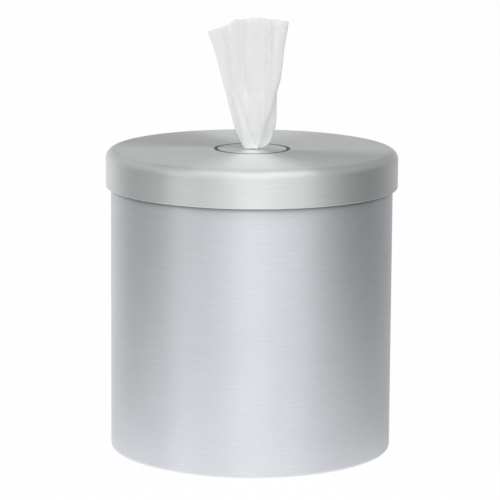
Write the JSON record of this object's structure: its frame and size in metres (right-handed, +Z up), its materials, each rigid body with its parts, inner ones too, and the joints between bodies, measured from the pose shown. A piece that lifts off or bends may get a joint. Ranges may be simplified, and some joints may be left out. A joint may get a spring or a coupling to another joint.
{
  "type": "countertop wipes dispenser",
  "caption": "Round brushed steel canister with a lift-off lid, an inner pail for a centre-pull roll and a gripping nozzle that a wet wipe is pulled up through.",
  "frame": {"origin": "middle of the base, on the surface that the dispenser stands on", "axes": "+Z up along the canister's axis, -Y towards the front that the picture shows, +X to the right"},
  "size_m": [0.242, 0.242, 0.3634],
  "materials": {
    "brushed_steel": "horizontally brushed",
    "pan_steel": "plain rolled",
    "black_moulding": "fine matte",
    "grey_moulding": "satin moulded",
    "soft_seal": "soft moulded",
    "black_rubber": "matte",
    "wet_wipe": "damp nonwoven"
  },
  "bodies": {
    "canister": {"body_shell": "brushed_steel", "bottom_pan": "pan_steel", "foot_pad_1": "black_rubber", "foot_pad_2": "black_rubber", "foot_pad_3": "black_rubber", "foot_pad_4": "black_rubber"},
    "pail": {"inner_pail": "grey_moulding", "wipes_roll": "wet_wipe"},
    "lid": {"lid_shell": "brushed_steel", "inner_lid": "grey_moulding", "lid_seal": "soft_seal", "nozzle_body": "black_moulding", "nozzle_gasket": "black_rubber", "face_disc": "brushed_steel", "grip_diaphragm": "black_rubber", "funnel_insert": "grey_moulding", "nut_washer": "grey_moulding", "clamp_nut": "grey_moulding"},
    "wipe": {"wipe_sheet": "wet_wipe", "wipe_tail": "wet_wipe"}
  },
  "joints": [
    {"name": "pail_lift", "type": "slide", "parent": "canister", "child": "pail", "axis": [0, 0, 1], "range_m": [0, 0.245]},
    {"name": "lid_lift", "type": "slide", "parent": "pail", "child": "lid", "axis": [0, 0, 1], "range_m": [0, 0.08]},
    {"name": "wipe_pull", "type": "slide", "parent": "lid", "child": "wipe", "axis": [0, 0, 1], "range_m": [0, 0.04]}
  ]
}
